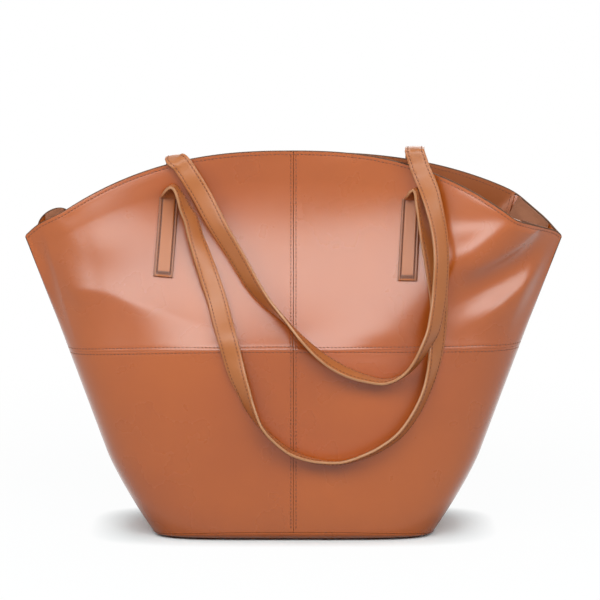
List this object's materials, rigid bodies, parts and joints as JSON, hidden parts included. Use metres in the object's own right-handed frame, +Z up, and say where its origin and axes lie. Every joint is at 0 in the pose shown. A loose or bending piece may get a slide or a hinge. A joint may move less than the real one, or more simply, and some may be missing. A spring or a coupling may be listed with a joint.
{
  "type": "shoulder tote bag",
  "caption": "Flared leather tote with a curved rim, soft pointed mouth corners, seamed panels and two long straps that hang over its front.",
  "frame": {"origin": "middle of the base underside, on the surface the bag stands on", "axes": "+X to the right seen from the front, -Y out of the front panel, +Z up"},
  "size_m": [0.4598, 0.1456, 0.3327],
  "materials": {
    "tan_leather": "smooth pebbled, semi gloss",
    "strap_leather": "smooth, semi gloss",
    "facing_leather": "smooth, satin",
    "lining_cloth": "plain weave",
    "backing_felt": "bonded felt",
    "board": "pressed fibre board, matt",
    "snap_metal": "polished plate"
  },
  "bodies": {
    "bag": {"back_facing": "facing_leather", "back_left_patch": "backing_felt", "back_lining": "lining_cloth", "back_lower_left_panel": "tan_leather", "back_lower_right_panel": "tan_leather", "back_right_patch": "backing_felt", "back_strap_left_tab": "strap_leather", "back_strap_right_tab": "strap_leather", "back_upper_left_panel": "tan_leather", "back_upper_right_panel": "tan_leather", "base_board": "board", "base_lining": "lining_cloth", "base_panel": "tan_leather", "front_facing": "facing_leather", "front_left_patch": "backing_felt", "front_lining": "lining_cloth", "front_lower_left_panel": "tan_leather", "front_lower_right_panel": "tan_leather", "front_right_patch": "backing_felt", "front_strap_left_tab": "strap_leather", "front_strap_right_tab": "strap_leather", "front_upper_left_panel": "tan_leather", "front_upper_right_panel": "tan_leather", "snap_socket": "snap_metal", "snap_socket_washer": "snap_metal", "snap_stud": "snap_metal", "snap_stud_washer": "snap_metal"},
    "front_strap": {"front_strap": "strap_leather"},
    "back_strap": {"back_strap": "strap_leather"}
  },
  "joints": [
    {"name": "front_strap_swing", "type": "hinge", "parent": "bag", "child": "front_strap", "pos_m": [-0.00225, -0.02039, 0.293], "axis": [-0.9981, 0.0613, 0], "range_deg": [0, 125]},
    {"name": "back_strap_swing", "type": "hinge", "parent": "bag", "child": "back_strap", "pos_m": [0.00175, -0.01723, 0.32768], "axis": [-0.9979, 0.0626, -0.0169], "range_deg": [0, 150]}
  ],
  "couplings": [
    {"joint": "back_strap_swing", "follows": "front_strap_swing", "ratio": 1.2}
  ]
}
